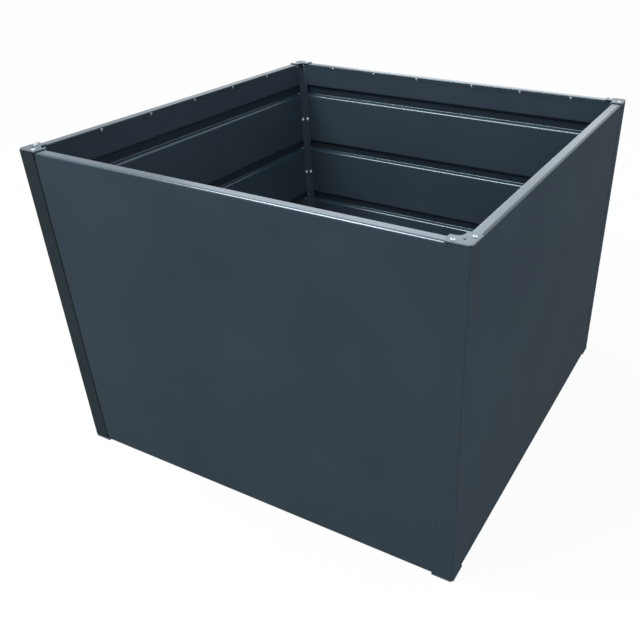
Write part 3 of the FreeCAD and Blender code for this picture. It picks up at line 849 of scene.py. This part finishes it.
@dataclass
class InnerLiner:
    """Sheet behind the lips, with four pressed beads that end round, behind the corner angles."""

    sizes: BedSizes
    edge_gap: float = 0.3 * MM
    draft: float = math.radians(23)
    corner: float = 9 * MM
    shoulder: float = 7 * MM
    root: float = 2.2 * MM
    band: float = 0.5 * MM
    # Deeper than this in a bead, a face wears the painted shade.
    shade_from: float = 1.5 * MM
    slope_rise: float = 0.25
    slope_facing: float = 0.1
    corner_points: int = 8
    round_steps: int = 5

    def build(self, shop: Workshop, wall: Wall) -> None:
        """Presses and seats the liner of one wall.

        Args:
            shop: Where the piece is seated.
            wall: The wall.
        """
        s = self.sizes
        bm = bmesh.new()
        rings = [self._bead(bm, height) for height in s.bead_heights()]
        self._sheet(bm, rings)
        thicken(bm, s.liner_sheet, lambda middle: Vector((0, 1, 0)))
        paint(bm, self._finish_of)
        bmesh.ops.translate(bm, verts=bm.verts[:], vec=(0, s.lip_face, 0))
        bmesh.ops.transform(bm, matrix=wall.place(s), verts=bm.verts[:])
        finishes = (Finish.INNER, Finish.BEND, Finish.GROOVE)
        shop.seat(bm, f"{wall.name}_pressed_liner", finishes, f"{wall.name}_liner")

    def _finish_of(self, face: bmesh.types.BMFace) -> int:
        """Number of a face's finish: painted highlight on a bead's up-facing slope, painted shade
        in it.
        """
        if face.normal.z > self.slope_rise and face.normal.y > self.slope_facing:
            return 1
        return 2 if face.calc_center_median().y < -self.shade_from else 0

    def _profile(self) -> list[tuple[float, float]]:
        """Section of a bead's side, from the flat sheet down to the bead's floor.

        Returns:
            Pairs of how far in from the mouth's outline and how deep each ring lies.
        """
        tilt = QUARTER - self.draft
        reach = self.shoulder * math.tan(tilt / 2)
        depth = self.sizes.bead_depth
        slope = (depth - (self.shoulder + self.root) * (1 - math.cos(tilt))) / math.tan(tilt)
        pairs = [(-reach - self.band, 0.0)]
        for step in range(self.round_steps + 1):
            angle = tilt * step / self.round_steps
            across = self.shoulder * math.sin(angle) - reach
            pairs.append((across, self.shoulder * (1 - math.cos(angle))))
        foot = pairs[-1][0] + slope + self.root * math.sin(tilt)
        for step in range(self.round_steps, -1, -1):
            angle = tilt * step / self.round_steps
            across = foot - self.root * math.sin(angle)
            pairs.append((across, depth - self.root * (1 - math.cos(angle))))
        pairs.append((foot + self.band, depth))
        return pairs

    def _bead(self, bm: bmesh.types.BMesh, height: Height) -> list[bmesh.types.BMEdge]:
        """Presses one bead into y < 0.

        Args:
            bm: The liner's mesh.
            height: Height of the bead's middle.

        Returns:
            The edges of its outermost ring, which lies flat in the sheet.
        """
        s = self.sizes
        half_long = s.half - s.bead_inset
        half_high = s.bead_mouth / 2
        profile = self._profile()
        points = 4 * self.corner_points
        upright = Matrix.Rotation(QUARTER, 4, "X")
        ring = bmesh.ops.create_circle(
            bm, segments=points, radius=self.corner - profile[0][0],
            matrix=upright @ Matrix.Rotation(math.pi / points, 4, "Z"),
        )["verts"]
        out, up = half_long - self.corner, half_high - self.corner
        hubs = [
            (Vector((x * out, 0, height + z * up)), x, z) for x in (-1, 1) for z in (-1, 1)
        ]
        moves = [
            ([v for v in ring if v.co.x * x > 0 and v.co.z * z > 0], hub) for hub, x, z in hubs
        ]
        for verts, hub in moves:
            bmesh.ops.translate(bm, verts=verts, vec=hub)
        edges = list({edge for vert in ring for edge in vert.link_edges})
        outermost = edges
        for (before, _), (across, deep) in zip(profile, profile[1:]):
            grown = bmesh.ops.extrude_edge_only(bm, edges=edges)["geom"]
            ring = only(bmesh.types.BMVert, grown)
            edges = [e for e in only(bmesh.types.BMEdge, grown) if all(v in ring for v in e.verts)]
            share = (self.corner - across) / (self.corner - before)
            for hub, x, z in hubs:
                verts = [v for v in ring if v.co.x * x > 0 and (v.co.z - height) * z > 0]
                centre = Matrix.Translation(-hub)
                bmesh.ops.scale(bm, vec=(share, 1, share), space=centre, verts=verts)
            bmesh.ops.translate(bm, verts=ring, vec=(0, -deep - ring[0].co.y, 0))
        bmesh.ops.contextual_create(bm, geom=edges)
        return outermost

    def _sheet(self, bm: bmesh.types.BMesh, rings: Iterable[list[bmesh.types.BMEdge]]) -> None:
        """Fills the flat sheet round the beads.

        Args:
            bm: The liner's mesh.
            rings: The outermost ring of each bead.
        """
        s = self.sizes
        side = s.half - s.lip_face - self.edge_gap
        clear = s.panel_sheet + s.bend + self.edge_gap
        low, high = s.base + clear, s.rim - clear
        frame = bmesh.ops.create_grid(
            bm, x_segments=1, y_segments=1, size=1,
            matrix=Matrix.Translation((0, 0, (low + high) / 2))
            @ Matrix.Diagonal((side, 1, (high - low) / 2, 1))
            @ Matrix.Rotation(QUARTER, 4, "X"),
        )["verts"]
        border = list({edge for vert in frame for edge in vert.link_edges})
        faces = list({face for vert in frame for face in vert.link_faces})
        bmesh.ops.delete(bm, geom=faces, context="FACES_ONLY")
        loops = border + [edge for ring in rings for edge in ring]
        bmesh.ops.triangle_fill(bm, use_beauty=True, use_dissolve=False, edges=loops)


@dataclass
class CornerPost:
    """Folded post: two outer faces, two returns beside the panels, two lips behind the liners."""

    sizes: BedSizes
    lip_gap: float = 3 * MM
    relief: float = 18 * MM
    notch_gap: float = 1 * MM
    # The post that wears the darker copy of the coat, a painted shade.
    shaded_post: str = "front_left"

    def build(self, shop: Workshop, corner: Corner) -> None:
        """Folds, trims and seats the post of one corner.

        Args:
            shop: Where the piece is seated.
            corner: The corner.
        """
        s = self.sizes
        snug = SEAMS[corner.name].snug
        outer = s.bend + s.post_sheet
        seam_bend = 0 if snug else outer
        back = s.lip_face - s.liner_sheet
        low, high = s.base + s.panel_sheet, s.rim - s.panel_sheet
        bm = bmesh.new()
        lip_start = s.wall + self.lip_gap
        fold = Fold(bm, Vector((lip_start, back, low)), heading=Vector((1, 0, 0)), axis=UP)
        lip, turned = s.post_leg - lip_start - outer, back - outer - seam_bend
        face = s.post_leg - outer - seam_bend
        turn = -QUARTER
        fold.run(lip).bend(outer, turn).run(turned).bend(seam_bend, turn).run(face)
        fold.bend(outer, turn)
        fold.run(face).bend(seam_bend, turn).run(turned).bend(outer, turn).run(lip)
        fold.draw_out(high - low)
        self._trim(bm, low, high, back - outer)
        thicken(bm, s.post_sheet, self._way_out)
        if snug:
            edge = s.post_leg - AT_PLACE
            crease(bm, lambda place: max(place.xy) > edge and min(place.xy) < AT_PLACE)
        bmesh.ops.transform(bm, matrix=corner.place(s), verts=bm.verts[:])
        finish = Finish.WORN if corner.name == self.shaded_post else Finish.OUTER
        shop.seat(bm, f"{corner.name}_folded_post", (finish,), f"{corner.name}_post")

    def _trim(self, bm: bmesh.types.BMesh, low: Height, high: Height, lip_from: float) -> None:
        """Cuts the lips back at the post's ends, and the notches where the beads pass.

        Args:
            bm: The folded post, one face deep.
            low: Its lower end.
            high: Its upper end.
            lip_from: How far in from both outer faces the lips begin.
        """
        s = self.sizes
        room = s.liner_sheet + self.notch_gap
        near, deep = s.bead_inset - room, s.lip_face - s.bead_depth - room
        half_notch = s.bead_mouth / 2 + room
        levels = [height + side * half_notch for height in s.bead_heights() for side in (-1, 1)]
        for z in (low + self.relief, high - self.relief, *levels):
            cut(bm, (0, 0, z), UP)
        for inset in (near, deep):
            cut(bm, (inset, 0, 0), (1, 0, 0))
            cut(bm, (0, inset, 0), (0, 1, 0))

        def goes(place: Vector) -> bool:
            """Tests for waste.

            Args:
                place: Middle of a face.

            Returns:
                True on a lip at the post's ends and in a notch.
            """
            if min(place.z - low, high - place.z) < self.relief:
                return min(place.xy) > lip_from
            at_bead = any(abs(place.z - height) < half_notch for height in s.bead_heights())
            return at_bead and min(place.xy) > deep and max(place.xy) > near

        drop(bm, goes)

    @staticmethod
    def _way_out(middle: Vector) -> Vector:
        """Which way out is at the middle of one of the two outer faces."""
        return Vector((-1, 0, 0)) if middle.x < middle.y else Vector((0, -1, 0))


@dataclass
class CornerAngle:
    """Narrow angle over the joint of two liners in an inner corner."""

    sizes: BedSizes
    gap: float = 0.5 * MM

    def build(self, shop: Workshop, corner: Corner) -> None:
        """Folds and seats the angle of one corner.

        Args:
            shop: Where the piece is seated.
            corner: The corner.
        """
        s = self.sizes
        near = s.lip_face + s.angle_sheet
        far = s.lip_face + s.angle_leg
        low, high = s.base + s.lip + self.gap, s.rim - s.lip - self.gap
        bm = bmesh.new()
        fold = Fold(bm, Vector((far, near, low)), heading=Vector((-1, 0, 0)), axis=UP)
        leg = far - near - s.bend
        fold.run(leg).bend(s.bend, -QUARTER).run(leg)
        fold.draw_out(high - low)
        thicken(bm, s.angle_sheet, self._way_out)
        bmesh.ops.transform(bm, matrix=corner.place(s), verts=bm.verts[:])
        name, node = f"{corner.name}_inner_angle", f"{corner.name}_angle"
        shop.seat(bm, name, (Finish.ANGLE,), node)

    @staticmethod
    def _way_out(middle: Vector) -> Vector:
        """Which way the side of a leg faces that looks into the bed, at the leg's middle."""
        return Vector((0, 1, 0)) if middle.x > middle.y else Vector((1, 0, 0))


@dataclass
class Plates:
    """Flat L-shaped plates: one on top of each corner and a thicker one under it."""

    plate_ease: float = 1.1 * MM
    foot_ease: float = 1.8 * MM

    def build(self, shop: Workshop, corner: Corner) -> None:
        """Rounds the cut edges of one corner's two plates and seats them.

        Args:
            shop: Where the pieces are seated.
            corner: The corner.
        """
        eases = {f"{corner.name}_plate": self.plate_ease, f"{corner.name}_foot": self.foot_ease}
        for node, radius in eases.items():
            bm = shop.eased_copy(node, radius)
            shop.seat(bm, f"{node}_eased", (Finish.PLATE,), node)


@dataclass
class Fasteners:
    """Screws, nuts and rivets, which are the frame's own."""

    plated: tuple[str, ...] = ("plate_screws", "foot_screws", "nuts")
    # These screws wear the whitened zinc, a painted glint.
    pale: tuple[str, ...] = ("inner_screws",)

    def build(self, shop: Workshop) -> None:
        """Gives every fastener its finish.

        Args:
            shop: Where the finishes are kept.
        """
        for corner in CORNERS:
            for group in self.plated:
                shop.carry(f"{corner.name}_{group}", Finish.ZINC)
            for group in self.pale:
                shop.carry(f"{corner.name}_{group}", Finish.PALE_ZINC)
        for wall in WALLS:
            shop.carry(f"{wall.name}_rivets", Finish.RIVET)


# ------------------------------------------------------------------------------------------------
# Studio
# ------------------------------------------------------------------------------------------------


@dataclass(frozen=True)
class Softbox:
    """A soft rectangular light. A radiance of 1 is as bright as white in the picture."""

    name: str
    place: Place
    target: Place
    size: tuple[float, float]
    radiance: float
    colour: str = "#FFFFFF"

    def hang(self) -> None:
        """Hangs the light at its place, facing its target."""
        data = bpy.data.lights.new(self.name, "AREA")
        data.shape = "RECTANGLE"
        data.size, data.size_y = self.size
        data.energy = self.radiance * math.pi * self.size[0] * self.size[1]
        data.color = linear(self.colour)[:3]
        light = bpy.data.objects.new(self.name, data)
        facing = (Vector(self.place) - Vector(self.target)).to_track_quat("Z", "Y")
        light.matrix_world = Matrix.Translation(self.place) @ facing.to_matrix().to_4x4()
        light.visible_camera = False
        bpy.context.scene.collection.objects.link(light)


SKY_BLUE = "#E6F0F6"
SOFTBOXES = (
    # Draws the bright lines along the front rim's bend and the beads.
    Softbox("key", (-1.05, -1.4, 2.8), (0.1, 0, 0.7), (1.5, 0.8), 20),
    # Lifts the right wall and the inside of the left one.
    Softbox("fill", (2.3, -0.9, 2.4), (0, 0, 0.5), (1.2, 1.2), 3.2),
    # These two, behind the bed, are what the rims mirror.
    Softbox("rear", (-1.5, 4.6, 2.1), (0, 0, 0.8), (2.3, 1.3), 1.5, SKY_BLUE),
    Softbox("side", (-2.2, 3.4, 2.7), (0, 0, 0.8), (2.6, 1.25), 2.1, SKY_BLUE),
)


@dataclass
class Studio:
    """Plain pale floor, even light, four softboxes and a camera at the photograph's angle."""

    azimuth: float = math.radians(27.313)
    elevation: float = math.radians(31.24)
    roll: float = math.radians(0.343)
    eye: Place = (0.896, -1.474, 1.244)
    frame_pixels: float = 640
    focal_pixels: float = 728.65
    axis_pixel: tuple[float, float] = (405.17, 328.18)
    sensor: float = 36
    nearest: float = 0.05
    floor_half: float = 30
    floor_colour: str = "#D8DADC"
    floor_glow: float = 0.94

    def build(self) -> None:
        """Sets up the whole studio."""
        scene = bpy.context.scene
        scene.view_settings.view_transform = "Standard"
        self._camera(scene)
        self._floor(scene)
        self._world(scene)
        for softbox in SOFTBOXES:
            softbox.hang()

    def _camera(self, scene: bpy.types.Scene) -> None:
        """Puts the camera where the photograph was taken from.

        Args:
            scene: The scene that gets the camera.
        """
        data = bpy.data.cameras.new("camera")
        data.sensor_width = self.sensor
        data.lens = self.focal_pixels * self.sensor / self.frame_pixels
        middle = self.frame_pixels / 2
        data.shift_x = (middle - self.axis_pixel[0]) / self.frame_pixels
        data.shift_y = (self.axis_pixel[1] - middle) / self.frame_pixels
        data.clip_start = self.nearest
        camera = bpy.data.objects.new("camera", data)
        pan = Matrix.Rotation(self.azimuth, 4, "Z")
        tilt = Matrix.Rotation(QUARTER - self.elevation, 4, "X")
        roll = Matrix.Rotation(self.roll, 4, "Z")
        camera.matrix_world = Matrix.Translation(self.eye) @ pan @ tilt @ roll
        scene.collection.objects.link(camera)
        scene.camera = camera

    def _floor(self, scene: bpy.types.Scene) -> None:
        """Lays a wide matt white floor, which keeps the bed's shadow.

        Args:
            scene: The scene that gets the floor.
        """
        bm = bmesh.new()
        bmesh.ops.create_grid(bm, x_segments=1, y_segments=1, size=self.floor_half)
        mesh = bpy.data.meshes.new("floor")
        bm.to_mesh(mesh)
        bm.free()
        floor = bpy.data.objects.new("floor", mesh)
        scene.collection.objects.link(floor)
        material, tree = start_material("matt white floor")
        path = add_node(tree, "ShaderNodeLightPath").outputs
        seen = path["Is Camera Ray"]
        for ray in ("Is Glossy Ray", "Is Transmission Ray"):
            larger = add_node(tree, "ShaderNodeMath", {0: seen, 1: path[ray]}, operation="MAXIMUM")
            seen = larger.outputs[0]
        share = add_node(
            tree, "ShaderNodeMath", {0: seen, 1: self.floor_glow}, operation="MULTIPLY"
        )
        matt = add_node(tree, "ShaderNodeBsdfDiffuse", {"Color": linear(self.floor_colour)})
        white = add_node(
            tree, "ShaderNodeEmission", {"Color": linear("#FFFFFF"), "Strength": 1.0}
        )
        mix = add_node(
            tree, "ShaderNodeMixShader",
            {0: share.outputs[0], 1: matt.outputs[0], 2: white.outputs[0]},
        )
        add_node(tree, "ShaderNodeOutputMaterial", {"Surface": mix.outputs[0]})
        mesh.materials.append(material)

    @staticmethod
    def _world(scene: bpy.types.Scene) -> None:
        """Surrounds the bed with even white light, at which a colour renders as it is written.

        Args:
            scene: The scene that gets the world.
        """
        world = bpy.data.worlds.new("even light")
        scene.world = world
        world.use_nodes = True
        tree = world.node_tree
        tree.nodes.clear()
        light = add_node(
            tree, "ShaderNodeBackground", {"Color": linear("#FFFFFF"), "Strength": 1.0}
        )
        add_node(tree, "ShaderNodeOutputWorld", {"Surface": light.outputs[0]})


# ------------------------------------------------------------------------------------------------
# Assembly
# ------------------------------------------------------------------------------------------------


def main() -> None:
    """Builds the studio, and the bed's visible pieces round the frame."""
    logging.basicConfig(level=logging.INFO, format="%(name)s %(message)s")
    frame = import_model()
    Studio().build()
    sizes = BedSizes.from_frame()
    shop = Workshop(make_finishes(), frame["nodes"])
    panel, liner = OuterPanel(sizes), InnerLiner(sizes)
    for wall in WALLS:
        panel.build(shop, wall)
        liner.build(shop, wall)
    post, angle, plates = CornerPost(sizes), CornerAngle(sizes), Plates()
    for corner in CORNERS:
        post.build(shop, corner)
        angle.build(shop, corner)
        plates.build(shop, corner)
    Fasteners().build(shop)


if __name__ == "__main__":
    main()
